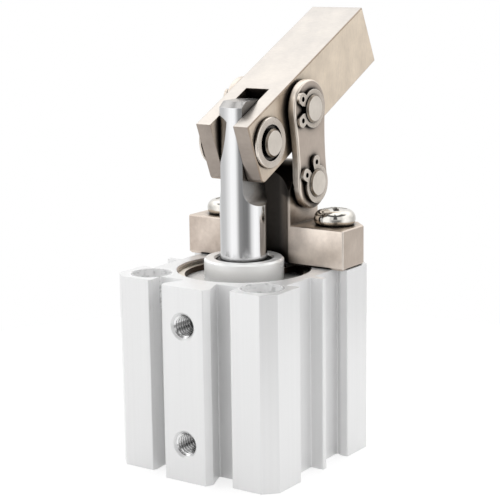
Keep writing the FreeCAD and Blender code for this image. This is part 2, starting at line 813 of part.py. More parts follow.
def linkage_pieces():
    pin_half = link_outer_x + pin_overhang
    plate = make_link_plate()
    link_ring = make_retaining_ring(link_outer_x, link_pin_y, link_pin_z, link_pin_ring_turn)
    clevis_ring_x = link_outer_x + face_gap
    clevis_ring = make_retaining_ring(clevis_ring_x, clevis_pin_y, clevis_pin_z, clevis_pin_ring_turn)
    return {
        "clamp_arm": make_clamp_arm(),
        "link_plate_right": plate,
        "link_plate_left": mirrored(plate),
        "link_pin": make_grooved_pin(pin_half, link_pin_y, link_pin_z, link_outer_x),
        "link_pin_ring_right": link_ring,
        "link_pin_ring_left": mirrored(link_ring),
        "clevis": make_clevis(),
        "clevis_pin": make_grooved_pin(pin_half, clevis_pin_y, clevis_pin_z, clevis_ring_x),
        "clevis_pin_ring_right": clevis_ring,
        "clevis_pin_ring_left": mirrored(clevis_ring),
        "clevis_screw_right": make_clevis_screw(half_bolt),
        "clevis_screw_left": make_clevis_screw(-half_bolt),
    }


os.makedirs("parts", exist_ok=True)
for pieces in (bore_pieces(), rod_pieces(), linkage_pieces()):
    for name, shape in pieces.items():
        shape.exportStep("parts/" + name + ".step")
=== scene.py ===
from math import asin, atan2, cos, pi, radians, sin

import bpy
from mathutils import Matrix, Vector


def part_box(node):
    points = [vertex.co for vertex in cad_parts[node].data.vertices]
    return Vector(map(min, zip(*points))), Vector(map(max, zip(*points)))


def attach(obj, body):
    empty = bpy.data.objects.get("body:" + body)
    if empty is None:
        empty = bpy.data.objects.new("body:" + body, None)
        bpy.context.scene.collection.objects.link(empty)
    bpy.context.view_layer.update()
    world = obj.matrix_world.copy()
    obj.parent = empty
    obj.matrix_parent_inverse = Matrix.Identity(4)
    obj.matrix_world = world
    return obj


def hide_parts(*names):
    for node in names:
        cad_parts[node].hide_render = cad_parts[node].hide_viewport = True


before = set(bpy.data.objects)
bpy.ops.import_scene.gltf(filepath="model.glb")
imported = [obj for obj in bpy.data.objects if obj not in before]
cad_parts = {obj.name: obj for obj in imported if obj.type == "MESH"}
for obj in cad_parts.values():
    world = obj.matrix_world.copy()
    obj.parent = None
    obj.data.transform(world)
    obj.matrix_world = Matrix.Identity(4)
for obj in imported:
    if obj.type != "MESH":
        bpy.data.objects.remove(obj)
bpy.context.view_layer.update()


# Camera. A long lens looks a little down on the corner between the port face and the right side,
# with the roll, distance and lens that bring the barrel's edges onto those of the photograph.
camera_azimuth = radians(34.51)
camera_elevation = radians(11.40)
camera_roll = radians(-0.76)
camera_distance = 0.3260
camera_target = Vector((0.00157, 0.0, 0.04506))
camera_lens = 111.1

back = Vector((
    sin(camera_azimuth) * cos(camera_elevation),
    -cos(camera_azimuth) * cos(camera_elevation),
    sin(camera_elevation),
))
level = Vector((cos(camera_azimuth), sin(camera_azimuth), 0.0))
rise = back.cross(level)
camera_right = cos(camera_roll) * level + sin(camera_roll) * rise
camera_up = cos(camera_roll) * rise - sin(camera_roll) * level

camera_data = bpy.data.cameras.new("camera")
camera_data.sensor_width = 36.0
camera_data.lens = camera_lens
camera_data.clip_start = 0.01
camera_data.clip_end = 10.0
camera = bpy.data.objects.new("camera", camera_data)
camera.matrix_world = Matrix.Translation(camera_target + camera_distance * back) @ Matrix((
    camera_right, camera_up, back,
)).transposed().to_4x4()
bpy.context.scene.collection.objects.link(camera)
bpy.context.scene.camera = camera
bpy.context.scene.view_settings.view_transform = "Standard"


# Light. A white studio tent: two tall soft boxes stand left and right of the lens, with a dim gap between
# them, a dark post over the lens and a dark frame high up. The roof is bright, and the cloth behind the
# object is plain white.
def add(tree, kind, inputs=None, **settings):
    """A new node with its settings, and with values on its inputs."""
    node = tree.nodes.new(kind)
    for name, value in settings.items():
        setattr(node, name, value)
    for name, value in (inputs or {}).items():
        node.inputs[name].default_value = value
    return node


def join(out, into):
    """Leads one node's output into another's input, in the tree that holds them."""
    out.id_data.links.new(out, into)


def calculate(operation, first, second=None):
    """One sum on a socket, with another socket or a number where the sum takes two."""
    node = add(first.id_data, "ShaderNodeMath", operation=operation)
    join(first, node.inputs[0])
    if isinstance(second, float):
        node.inputs[1].default_value = second
    elif second is not None:
        join(second, node.inputs[1])
    return node.outputs["Value"]


def spread(value, low, high, start=0.0, end=1.0):
    """Low where the value is at start and high where it is at end, and no further."""
    limits = {"From Min": start, "From Max": end, "To Min": low, "To Max": high}
    mapped = add(value.id_data, "ShaderNodeMapRange", limits)
    join(value, mapped.inputs["Value"])
    return mapped.outputs["Result"]


def ramp(value, stops):
    """A grey that follows the value from stop to stop, each a place and a shade."""
    node = add(value.id_data, "ShaderNodeValToRGB")
    elements = node.color_ramp.elements
    elements.remove(elements[1])
    for index, (place, shade) in enumerate(stops):
        element = elements[0] if index == 0 else elements.new(place)
        element.position = place
        element.color = (shade, shade, shade, 1.0)
    join(value, node.inputs["Fac"])
    return node.outputs["Color"]


def two_tone(value, dark, light):
    """A colour between dark and light by a value from 0 to 1; each is a colour or a socket."""
    mix = add(value.id_data, "ShaderNodeMix", data_type="RGBA")
    for name, shade in (("A", dark), ("B", light)):
        if isinstance(shade, tuple):
            mix.inputs[name].default_value = (*shade, 1.0)
        else:
            join(shade, mix.inputs[name])
    join(value, mix.inputs["Factor"])
    return mix.outputs["Result"]


def dimmed(colour, factor):
    """A colour socket times a grey factor."""
    mix = add(colour.id_data, "ShaderNodeMix", {"Factor": 1.0}, data_type="RGBA", blend_type="MULTIPLY")
    join(colour, mix.inputs["A"])
    join(factor, mix.inputs["B"])
    return mix.outputs["Result"]


def seen_rays(tree):
    """Two sockets: 1 on rays straight from the lens, and 1 on rays off gloss or through glass."""
    path = add(tree, "ShaderNodeLightPath")
    mirrored = calculate("MAXIMUM", path.outputs["Is Glossy Ray"], path.outputs["Is Transmission Ray"])
    return path.outputs["Is Camera Ray"], mirrored


# The stops by bearing go round from 0 behind the object, by 0.5 at the lens, to 1 behind it again. A height
# is 0 level with the object and 1 straight above it, but in tent_by_height it is 0 straight below.
tent_strength = 1.66
tent_by_bearing = [
    (0.000, 0.625), (0.060, 0.56), (0.160, 0.48), (0.220, 0.50), (0.290, 0.70),
    (0.330, 0.86), (0.370, 0.88), (0.405, 0.80), (0.425, 0.53), (0.450, 0.24),
    (0.500, 0.17), (0.550, 0.16), (0.580, 0.29), (0.610, 0.67), (0.650, 0.86),
    (0.700, 0.86), (0.760, 0.60), (0.820, 0.42), (0.920, 0.55), (1.000, 0.625),
]
tent_by_height = [(0.00, 0.70), (0.25, 0.80), (0.38, 1.0), (1.00, 1.0)]
fill_tone = 0.62
fill_height = (0.0, 0.22)
roof_tone = (1.0, 1.0, 1.0)
roof_height = (0.86, 0.95)
side_roof_bearing = (radians(45), radians(75))
side_roof_height = (0.30, 0.65)
frame_by_height = [(0.720, 0.0), (0.770, 0.90), (0.925, 0.90), (0.955, 0.0)]
frame_bearing = (radians(85), radians(110))
post_shade = 0.9
post_bearing = (radians(9), radians(14))
post_height = (0.16, 0.28)
cloth_bearing = (radians(145), radians(160))

world = bpy.data.worlds.new("studio_tent")
bpy.context.scene.world = world
world.use_nodes = True
tree = world.node_tree
tree.nodes.clear()
direction = add(tree, "ShaderNodeTexCoord")
turned = add(tree, "ShaderNodeVectorRotate", {"Angle": pi / 2 - camera_azimuth}, rotation_type="Z_AXIS")
axes = add(tree, "ShaderNodeSeparateXYZ")
join(direction.outputs["Generated"], turned.inputs["Vector"])
join(turned.outputs["Vector"], axes.inputs["Vector"])
height = axes.outputs["Z"]
bearing = calculate("ARCTAN2", axes.outputs["Y"], axes.outputs["X"])
off_lens = calculate("ABSOLUTE", bearing)

side_tone = ramp(spread(bearing, 0.0, 1.0, -pi, pi), tent_by_bearing)
filled_tone = calculate("MAXIMUM", side_tone, spread(height, 0.0, fill_tone, *fill_height))
beside = spread(off_lens, 0.0, 1.0, *side_roof_bearing)
side_roof = calculate("MULTIPLY", beside, spread(height, 0.0, 1.0, *side_roof_height))
roof = calculate("MAXIMUM", side_roof, spread(height, 0.0, 1.0, *roof_height))
height_tone = ramp(spread(height, 0.0, 1.0, -1.0, 1.0), tent_by_height)
tone = dimmed(two_tone(roof, filled_tone, roof_tone), height_tone)

ahead = spread(off_lens, 1.0, 0.0, *frame_bearing)
dark_frame = calculate("MULTIPLY", ramp(height, frame_by_height), ahead)
over_lens = spread(off_lens, post_shade, 0.0, *post_bearing)
dark_post = calculate("MULTIPLY", over_lens, spread(height, 0.0, 1.0, *post_height))
undimmed = spread(calculate("MAXIMUM", dark_frame, dark_post), 1.0, 0.0)
tent = add(tree, "ShaderNodeBackground", {"Strength": tent_strength})
join(dimmed(tone, undimmed), tent.inputs["Color"])

plain_white = add(tree, "ShaderNodeBackground", {"Color": (1.0, 1.0, 1.0, 1.0), "Strength": 1.0})
straight, mirrored = seen_rays(tree)
mirrored_behind = calculate("MULTIPLY", mirrored, spread(off_lens, 0.0, 1.0, *cloth_bearing))
cloth = calculate("MULTIPLY", mirrored_behind, spread(roof, 1.0, 0.0))
pick = add(tree, "ShaderNodeMixShader")
world_out = add(tree, "ShaderNodeOutputWorld")
join(calculate("MAXIMUM", straight, cloth), pick.inputs["Fac"])
join(tent.outputs["Background"], pick.inputs[1])
join(plain_white.outputs["Background"], pick.inputs[2])
join(pick.outputs["Shader"], world_out.inputs["Surface"])


# Floor. A small round of white board under the cylinder. Seen straight or mirrored it fades into the white
# around it and keeps only a faint shadow, and it lights the object as plain board does.
floor_radius = 0.13
floor_corners = 96
floor_albedo = (0.36, 0.36, 0.36, 1.0)
floor_glow = 0.72
plain_board_albedo = (0.7, 0.7, 0.7, 1.0)

floor_rim = []
for corner in range(floor_corners):
    turn = 2 * pi * corner / floor_corners
    floor_rim.append((floor_radius * cos(turn), floor_radius * sin(turn), 0.0))
floor_mesh = bpy.data.meshes.new("floor")
floor_mesh.from_pydata(floor_rim, [], [list(range(floor_corners))])
floor = bpy.data.objects.new("floor", floor_mesh)
bpy.context.scene.collection.objects.link(floor)

floor_paint = bpy.data.materials.new("floor_board")
floor_paint.use_nodes = True
tree = floor_paint.node_tree
tree.nodes.clear()
board = add(tree, "ShaderNodeBsdfDiffuse", {"Color": floor_albedo})
glow = add(tree, "ShaderNodeEmission", {"Color": (1.0, 1.0, 1.0, 1.0), "Strength": floor_glow})
lit_board = add(tree, "ShaderNodeAddShader")
plain_board = add(tree, "ShaderNodeBsdfDiffuse", {"Color": plain_board_albedo})
pick = add(tree, "ShaderNodeMixShader")
floor_out = add(tree, "ShaderNodeOutputMaterial")
join(calculate("MAXIMUM", *seen_rays(tree)), pick.inputs["Fac"])
join(board.outputs["BSDF"], lit_board.inputs[0])
join(glow.outputs["Emission"], lit_board.inputs[1])
join(plain_board.outputs["BSDF"], pick.inputs[1])
join(lit_board.outputs["Shader"], pick.inputs[2])
join(pick.outputs["Shader"], floor_out.inputs["Surface"])
floor.data.materials.append(floor_paint)


# Barrel. One length of aluminium extrusion, sawn to size, bored and tapped, then glass beaded and clear
# anodised to a pale satin. Fine die lines run up its sides, the mouth of the bore is darker, and the four
# counterbores show the swirl of the cutter.
def new_finish(name, colour, roughness, metallic=1.0):
    """A new material in one plain colour, with its shader and its tree of nodes."""
    material = bpy.data.materials.new(name)
    material.use_nodes = True
    tree = material.node_tree
    shader = tree.nodes["Principled BSDF"]
    shader.inputs["Base Color"].default_value = (*colour, 1.0)
    shader.inputs["Metallic"].default_value = metallic
    shader.inputs["Roughness"].default_value = roughness
    return material, shader, tree


def stretched_noise(tree, size, stretch=(1.0, 1.0, 1.0), detail=3.0, roughness=0.6, tilt=0.0):
    """Noise whose grains are size metres across, drawn out by stretch along X, Y and Z, tilted about X."""
    place = add(tree, "ShaderNodeTexCoord")
    turn = add(tree, "ShaderNodeVectorRotate", {"Angle": -tilt}, rotation_type="X_AXIS")
    scale = tuple(1.0 / (size * along) for along in stretch)
    mapping = add(tree, "ShaderNodeMapping", {"Scale": scale})
    noise = add(tree, "ShaderNodeTexNoise", {"Scale": 1.0, "Detail": detail, "Roughness": roughness})
    join(place.outputs["Object"], turn.inputs["Vector"])
    join(turn.outputs["Vector"], mapping.inputs["Vector"])
    join(mapping.outputs["Vector"], noise.inputs["Vector"])
    return noise.outputs["Fac"]


def painted_crevice_shade(tree, reach, low, high, deepest):
    """A painted shade: 1 on open faces, falling to deepest in crevices narrower than reach metres."""
    around = add(tree, "ShaderNodeAmbientOcclusion", {"Distance": reach}, samples=8)
    return spread(around.outputs["AO"], deepest, 1.0, low, high)


def relief(shader, height, depth, strength, edge=0.0):
    """Raises the surface by depth metres where height is 1, over edges rounded by edge metres."""
    tree = shader.id_data
    bump = add(tree, "ShaderNodeBump", {"Distance": depth, "Strength": strength})
    join(height, bump.inputs["Height"])
    if edge > 0.0:
        rounded = add(tree, "ShaderNodeBevel", {"Radius": edge}, samples=4)
        join(rounded.outputs["Normal"], bump.inputs["Normal"])
    join(bump.outputs["Normal"], shader.inputs["Normal"])


def near_axis(tree, x, y, radius, soft=0.0001):
    """1 inside a round of the given radius about upright axes at x and y, mirrored to all four corners."""
    place = add(tree, "ShaderNodeTexCoord")
    folded = add(tree, "ShaderNodeVectorMath", operation="ABSOLUTE")
    shifted = add(tree, "ShaderNodeVectorMath", operation="SUBTRACT")
    shifted.inputs[1].default_value = (x, y, 0.0)
    flattened = add(tree, "ShaderNodeVectorMath", operation="MULTIPLY")
    flattened.inputs[1].default_value = (1.0, 1.0, 0.0)
    away = add(tree, "ShaderNodeVectorMath", operation="LENGTH")
    join(place.outputs["Object"], folded.inputs[0])
    join(folded.outputs["Vector"], shifted.inputs[0])
    join(shifted.outputs["Vector"], flattened.inputs[0])
    join(flattened.outputs["Vector"], away.inputs[0])
    return spread(away.outputs["Value"], 1.0, 0.0, radius, radius + soft)


def progress(tree, way, start, end):
    """How far a point lies along a way, from 0 at start to 1 at end, in metres."""
    place = add(tree, "ShaderNodeTexCoord")
    match = add(tree, "ShaderNodeVectorMath", operation="DOT_PRODUCT")
    match.inputs[1].default_value = way
    join(place.outputs["Object"], match.inputs[0])
    return spread(match.outputs["Value"], 0.0, 1.0, start, end)


def dress(material, *names):
    """Gives CAD nodes their material."""
    for name in names:
        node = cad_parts[name]
        node.data.materials.clear()
        node.data.materials.append(material)


upward = (0.0, 0.0, 1.0)
barrel_dark = (0.832, 0.832, 0.832)
barrel_light = (0.856, 0.856, 0.856)
barrel_rough = 0.32
barrel_metallic = 0.33
bored_dark = (0.44, 0.42, 0.39)
bored_light = (0.50, 0.475, 0.44)
bored_metallic = 0.75
bored_radius = 0.01425
machined_rough = 0.20
bolt_place = 0.014
counterbore_radius = 0.00451
counterbore_floor = 0.0345
counterbore_wall = 0.0346
counterbore_dark = (0.70, 0.70, 0.70)
counterbore_light = (1.0, 1.0, 1.0)
bead_share = 0.4

barrel_metal, shader, tree = new_finish("anodised_barrel", barrel_light, barrel_rough, barrel_metallic)
die_lines = stretched_noise(tree, size=0.00013, stretch=(1.0, 1.0, 500.0), detail=2.0)
broad_lines = stretched_noise(tree, size=0.0008, stretch=(1.0, 1.0, 90.0))
beads = stretched_noise(tree, size=0.00009, detail=2.0)
cloud = stretched_noise(tree, size=0.012, stretch=(1.0, 1.0, 2.5), detail=2.0)
cutter_marks = stretched_noise(tree, size=0.0016, stretch=(1.0, 1.0, 0.7), detail=2.0)
bored = near_axis(tree, 0.0, 0.0, bored_radius)
high_up = progress(tree, upward, counterbore_floor, counterbore_wall)
round_bolts = near_axis(tree, bolt_place, bolt_place, counterbore_radius, soft=0.00003)
counterbored = calculate("MULTIPLY", high_up, round_bolts)
satin = two_tone(spread(broad_lines, 0.0, 1.0, start=0.3, end=0.7), barrel_dark, barrel_light)
swirl = two_tone(spread(cutter_marks, 0.0, 1.0, start=0.36, end=0.50), counterbore_dark, counterbore_light)
# Painted shade: the bore's colour darkens deep inside, where shade falls.
depth_shade = painted_crevice_shade(tree, reach=0.003, low=0.10, high=0.80, deepest=0.60)
bore_wall = dimmed(two_tone(cloud, bored_dark, bored_light), depth_shade)
outside = two_tone(counterbored, satin, swirl)
join(two_tone(bored, outside, bore_wall), shader.inputs["Base Color"])
join(spread(bored, barrel_metallic, bored_metallic), shader.inputs["Metallic"])
turned_rough = add(tree, "ShaderNodeMix", {"B": machined_rough}, data_type="FLOAT")
join(calculate("MAXIMUM", bored, counterbored), turned_rough.inputs["Factor"])
join(spread(cloud, barrel_rough - 0.04, barrel_rough + 0.05), turned_rough.inputs["A"])
join(turned_rough.outputs["Result"], shader.inputs["Roughness"])
grain = add(tree, "ShaderNodeMix", {"Factor": bead_share}, data_type="FLOAT")
join(die_lines, grain.inputs["A"])
join(beads, grain.inputs["B"])
relief(shader, grain.outputs["Result"], depth=0.000004, strength=0.35, edge=0.00012)
dress(barrel_metal, "barrel")


# Port threads. The two air ports are tapped right through their chamfers, which leaves a spiral of
# bright ridges in each. A threaded sleeve stands for the ridges inside the plain round wall of the port.
thread_pitch = 0.0008
thread_root = 0.00249
thread_crest = 0.00210
thread_flank = 1.25
thread_start = -0.02175
thread_end = -0.01640
thread_rows_per_turn = 14
thread_columns = 72
port_heights = {"port_thread_lower": 0.0080, "port_thread_upper": 0.0329}


def thread_points(port_z):
    """Rows of rings: the spiral wall from the mouth inwards, then back along the plain outer wall."""
    length = thread_end - thread_start
    rows = round(length / thread_pitch * thread_rows_per_turn)
    points = []
    for row in range(rows + 1):
        y = thread_start + length * row / rows
        lead_in = thread_root - (y - thread_start)
        for column in range(thread_columns):
            turn = 2 * pi * column / thread_columns
            phase = (y / thread_pitch + column / thread_columns) % 1.0
            ridge = 1.0 - abs(2.0 * phase - 1.0)
            radius = thread_root + (thread_crest - thread_root) * min(1.0, thread_flank * ridge)
            radius = max(radius, lead_in)
            points.append((radius * cos(turn), y, port_z + radius * sin(turn)))
    for y in (thread_end, thread_start):
        for column in range(thread_columns):
            turn = 2 * pi * column / thread_columns
            points.append((thread_root * cos(turn), y, port_z + thread_root * sin(turn)))
    return points, rows + 3


tapped_metal, shader, tree = new_finish("tapped_aluminium", (0.80, 0.80, 0.80), 0.20)
chatter = stretched_noise(tree, size=0.0004)
tapped = two_tone(chatter, (0.78, 0.78, 0.78), (0.88, 0.88, 0.88))
# Painted shade: the roots of the thread and the depth of the port are darkened where shade falls.
tapped = dimmed(tapped, painted_crevice_shade(tree, reach=0.0007, low=0.45, high=0.85, deepest=0.28))
tapped = dimmed(tapped, painted_crevice_shade(tree, reach=0.004, low=0.10, high=0.55, deepest=0.50))
join(tapped, shader.inputs["Base Color"])
join(spread(chatter, 0.16, 0.26), shader.inputs["Roughness"])

for thread_name, port_z in port_heights.items():
    thread_mesh = bpy.data.meshes.new(thread_name)
    points, rings = thread_points(port_z)
    quads = []
    for ring in range(rings):
        here = ring * thread_columns
        after = ((ring + 1) % rings) * thread_columns
        for column in range(thread_columns):
            next_column = (column + 1) % thread_columns
            quads.append((here + column, after + column, after + next_column, here + next_column))
    thread_mesh.from_pydata(points, [], quads)
    thread_mesh.validate()
    thread = bpy.data.objects.new(thread_name, thread_mesh)
    bpy.context.scene.collection.objects.link(thread)
    thread.data.materials.append(tapped_metal)
    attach(thread, "cylinder")


# Covers and piston. All three are turned from aluminium bar. The upper cover shows its collar and flange
# inside the clip, and the lower one shows its recessed face from below.
cover_metal, shader, tree = new_finish("turned_cover", (0.97, 0.97, 0.96), 0.27, metallic=0.10)
shader.inputs["IOR"].default_value = 2.5
lathe = stretched_noise(tree, size=0.00010, stretch=(200.0, 200.0, 1.0), detail=2.0)
shade = stretched_noise(tree, size=0.004, stretch=(3.0, 3.0, 1.0), detail=2.0)
turned_face = two_tone(shade, (0.98, 0.98, 0.97), (1.0, 1.0, 0.99))
# Painted shade: the turned faces darken in crevices, where shade falls.
turned_face = dimmed(turned_face, painted_crevice_shade(tree, reach=0.006, low=0.15, high=0.55, deepest=0.10))
join(turned_face, shader.inputs["Base Color"])
join(spread(shade, 0.25, 0.29), shader.inputs["Roughness"])
relief(shader, lathe, depth=0.000003, strength=0.2, edge=0.00015)
dress(cover_metal, "rod_cover", "rear_cover", "piston")


# Seals. The rod's wiping seal, the piston seal and both cover rings are moulded in black nitrile rubber.
# Only the lip of the rod seal is seen, in the collar round the rod.
seal_rubber, shader, tree = new_finish("nitrile_rubber", (0.018, 0.018, 0.019), 0.5, metallic=0.0)
skin = stretched_noise(tree, size=0.0004)
join(two_tone(skin, (0.012, 0.012, 0.013), (0.026, 0.026, 0.028)), shader.inputs["Base Color"])
join(spread(skin, 0.42, 0.60), shader.inputs["Roughness"])
relief(shader, skin, depth=0.00001, strength=0.5)
dress(seal_rubber, "rod_seal", "piston_seal", "rod_cover_o_ring", "rear_cover_o_ring")


# Bumpers. Two soft rings of dark polyurethane are sunk in the covers and catch the piston at both ends
# of its stroke. They are hidden inside the barrel.
bumper_rubber, shader, tree = new_finish("bumper_urethane", (0.05, 0.05, 0.055), 0.55, metallic=0.0)
skin = stretched_noise(tree, size=0.0006)
join(two_tone(skin, (0.04, 0.04, 0.045), (0.065, 0.065, 0.07)), shader.inputs["Base Color"])
join(spread(skin, 0.48, 0.62), shader.inputs["Roughness"])
dress(bumper_rubber, "front_bumper", "rear_bumper")


# Bore clips. Two flat eared clips, stamped from spring steel and plated a warm grey, sit in grooves of
# the barrel and hold the covers in. Their edges are painted far darker than their flat faces, as painted
# shade.
def facing(tree, way, low=0.90, high=0.97):
    """1 on faces that point the given way, 0 on faces turned from it."""
    place = add(tree, "ShaderNodeTexCoord")
    match = add(tree, "ShaderNodeVectorMath", operation="DOT_PRODUCT")
    match.inputs[1].default_value = way
    join(place.outputs["Normal"], match.inputs[0])
    return spread(match.outputs["Value"], 0.0, 1.0, low, high)


clip_metal, shader, tree = new_finish("plated_clip", (0.62, 0.56, 0.49), 0.34)
patches = stretched_noise(tree, size=0.0012, detail=4.0)
flat_face = two_tone(patches, (0.74, 0.69, 0.61), (0.86, 0.81, 0.73))
# Painted shade: faces that do not point up are painted near black, as the shade they lie in.
shade_painted_edge = two_tone(patches, (0.05, 0.035, 0.025), (0.12, 0.085, 0.06))
plated = two_tone(facing(tree, upward), shade_painted_edge, flat_face)
# Painted shade: the clips darken further where they sit deep in their grooves.
plated = dimmed(plated, painted_crevice_shade(tree, reach=0.003, low=0.10, high=0.50, deepest=0.06))
join(plated, shader.inputs["Base Color"])
join(spread(patches, 0.26, 0.46), shader.inputs["Roughness"])
relief(shader, patches, depth=0.000004, strength=0.4, edge=0.0001)
dress(clip_metal, "front_circlip", "rear_circlip")


# Rod bush. A plain sleeve of sintered bronze that guides the rod. It is soaked in oil and pressed in the
# upper cover.
bush_bronze, shader, tree = new_finish("sintered_bronze", (0.62, 0.43, 0.22), 0.45)
pores = stretched_noise(tree, size=0.00015, detail=2.0)
join(two_tone(pores, (0.45, 0.30, 0.15), (0.66, 0.47, 0.26)), shader.inputs["Base Color"])
relief(shader, pores, depth=0.00001, strength=0.5)
dress(bush_bronze, "rod_bush")


# Magnet ring. Ferrite powder bonded with resin, moulded as a ring and set in a groove of the piston,
# where the sensors outside the barrel feel it.
magnet_black, shader, tree = new_finish("bonded_ferrite", (0.06, 0.06, 0.062), 0.6, metallic=0.0)
grit = stretched_noise(tree, size=0.0003)
join(two_tone(grit, (0.045, 0.045, 0.047), (0.08, 0.08, 0.082)), shader.inputs["Base Color"])
join(spread(grit, 0.5, 0.7), shader.inputs["Roughness"])
dress(magnet_black, "magnet_ring")


# Piston screw. A socket head screw of hardened steel, blackened and oiled. It draws the rod into the
# piston and is hidden inside the barrel.
dark_steel, shader, tree = new_finish("blackened_steel", (0.07, 0.07, 0.075), 0.4)
oil = stretched_noise(tree, size=0.001)
join(two_tone(oil, (0.05, 0.05, 0.055), (0.10, 0.10, 0.105)), shader.inputs["Base Color"])
join(spread(oil, 0.32, 0.5), shader.inputs["Roughness"])
dress(dark_steel, "piston_screw")


# Piston rod. Carbon steel, ground and polished round, so that light runs up it in sharp bands. Its end is
# milled to a tongue with two flats that run out in arcs.
rod_dark = (0.61, 0.61, 0.615)
rod_light = (0.68, 0.68, 0.685)
rod_rough = 0.11
rod_brushed = 0.55
quarter_turn = 0.25
milled_radius = 0.00496
milled_dark = (0.36, 0.35, 0.34)
milled_light = (0.46, 0.45, 0.44)
milled_rough = 0.24

rod_metal, shader, tree = new_finish("ground_rod", rod_light, rod_rough)
shader.inputs["Anisotropic"].default_value = rod_brushed
shader.inputs["Anisotropic Rotation"].default_value = quarter_turn
around = add(tree, "ShaderNodeTangent", direction_type="RADIAL", axis="Z")
join(around.outputs["Tangent"], shader.inputs["Tangent"])
grinding = stretched_noise(tree, size=0.00006, stretch=(60.0, 60.0, 1.0), detail=2.0)
streaks = stretched_noise(tree, size=0.0005, stretch=(1.0, 1.0, 60.0))
ground = two_tone(streaks, rod_dark, rod_light)
# Painted shade: the ground rod darkens where parts close round it and shade falls.
ground = dimmed(ground, painted_crevice_shade(tree, reach=0.007, low=0.10, high=0.50, deepest=0.10))
ground = dimmed(ground, painted_crevice_shade(tree, reach=0.0015, low=0.45, high=0.75, deepest=0.12))
cut = two_tone(grinding, milled_dark, milled_light)
# Painted shade: the milled tongue darkens deep in the fork, where shade falls.
cut = dimmed(cut, painted_crevice_shade(tree, reach=0.014, low=0.42, high=0.92, deepest=0.05))
milled = near_axis(tree, 0.0, 0.0, milled_radius, soft=0.00002)
join(two_tone(milled, ground, cut), shader.inputs["Base Color"])
join(spread(milled, rod_rough, milled_rough), shader.inputs["Roughness"])
relief(shader, grinding, depth=0.000001, strength=0.3)
dress(rod_metal, "piston_rod")


# Clamp arm. A bar of steel milled square, forked at its tail and nickel plated to a warm satin. Each face
# is painted in tones for the light that falls on it: the top greyer than its sides, the right side paler
# towards the nose and the sawn tail darker. Its round edges are darker with wear and painted shade, and
# painted shade gathers in the fork and beside the links and pins.
def edge_wear_and_painted_light(tree, radius):
    """1 along edges and 0 on level faces, where rubbing has changed the finish and painted light lies on
    the edge.
    """
    rounded = add(tree, "ShaderNodeBevel", {"Radius": radius}, samples=4)
    flat = add(tree, "ShaderNodeNewGeometry")
    match = add(tree, "ShaderNodeVectorMath", operation="DOT_PRODUCT")
    join(rounded.outputs["Normal"], match.inputs[0])
    join(flat.outputs["True Normal"], match.inputs[1])
    return spread(match.outputs["Value"], 1.0, 0.0, start=0.93, end=0.998)


def painted_face_tone(colour, cloud, way, dark, light, along=None):
    """The colour with faces that point one way painted in two tones for their light, by cloud or also along
    a way.
    """
    tree = colour.id_data
    share = cloud
    if along is not None:
        share = calculate("MULTIPLY", calculate("ADD", cloud, progress(tree, *along)), 0.5)
    return two_tone(facing(tree, way), colour, two_tone(share, dark, light))


def nickel_plate(name, dark, light, rough, stretch, wear_and_edge_light, edge, shades, faces=(), tilt=0.0, painted_shade=None):
    """Nickel over milled steel: cloudy, with marks along the cut, face tones painted for the light on each,
    edges with wear and painted light, and painted shade.
    """
    material, shader, tree = new_finish(name, light, rough)
    cloud = stretched_noise(tree, size=0.006, detail=4.0)
    clouded = spread(cloud, 0.0, 1.0, start=0.3, end=0.7)
    marks = stretched_noise(tree, size=0.00012, stretch=stretch, tilt=tilt)
    scuffs = stretched_noise(tree, size=0.0012, stretch=(1.0, 0.25, 1.4), detail=5.0, roughness=0.7)
    tone = two_tone(clouded, dark, light)
    # Painted light: each face the list names gets tones set for the light that falls on it.
    for face in faces:
        tone = painted_face_tone(tone, clouded, **face)
    tone = dimmed(tone, spread(scuffs, 1.04, 0.93, start=0.35, end=0.75))
    # The edge colour stands for wear and for painted light on the edges: a highlight where it is pale,
    # shade where it is dark.
    tone = two_tone(calculate("MULTIPLY", edge_wear_and_painted_light(tree, 0.00026), wear_and_edge_light), tone, edge)
    # Painted shade from the material's own mask, where one is given.
    if painted_shade is not None:
        tone = dimmed(tone, painted_shade(tree))
    # Painted shade in crevices.
    for shade in shades:
        tone = dimmed(tone, painted_crevice_shade(tree, **shade))
    join(tone, shader.inputs["Base Color"])
    join(spread(cloud, rough - 0.05, rough + 0.07), shader.inputs["Roughness"])
    relief(shader, marks, depth=0.000005, strength=0.35, edge=0.00014)
    return material


rightward = (1.0, 0.0, 0.0)
leftward = (-1.0, 0.0, 0.0)
rearward = (0.0, 1.0, 0.0)
arm_tilt = radians(25.8)
arm_top_way = (0.0, -sin(arm_tilt), cos(arm_tilt))
arm_tail_way = (0.0, -cos(arm_tilt), -sin(arm_tilt))
arm_nose_way = (0.0, cos(arm_tilt), sin(arm_tilt))
arm_bottom_way = (0.0, sin(arm_tilt), -cos(arm_tilt))
arm_side_dark = (0.74, 0.63, 0.515)
arm_side_light = (0.84, 0.73, 0.60)

# Painted light: each face's tones are set for the light that falls on it, with gradients along the arm.
arm_faces = [
    dict(
        way=rightward, dark=(0.62, 0.525, 0.43), light=(0.95, 0.82, 0.665),
        along=(arm_nose_way, 0.030, 0.066),
    ),
    dict(way=leftward, dark=arm_side_dark, light=arm_side_light),
    dict(way=arm_nose_way, dark=arm_side_dark, light=arm_side_light),
    dict(way=arm_bottom_way, dark=arm_side_dark, light=arm_side_light),
    dict(
        way=arm_top_way, dark=(0.655, 0.605, 0.55), light=(0.50, 0.472, 0.445),
        along=(rearward, -0.01, 0.038),
    ),
    dict(way=arm_tail_way, dark=(0.30, 0.26, 0.23), light=(0.375, 0.325, 0.285)),
]
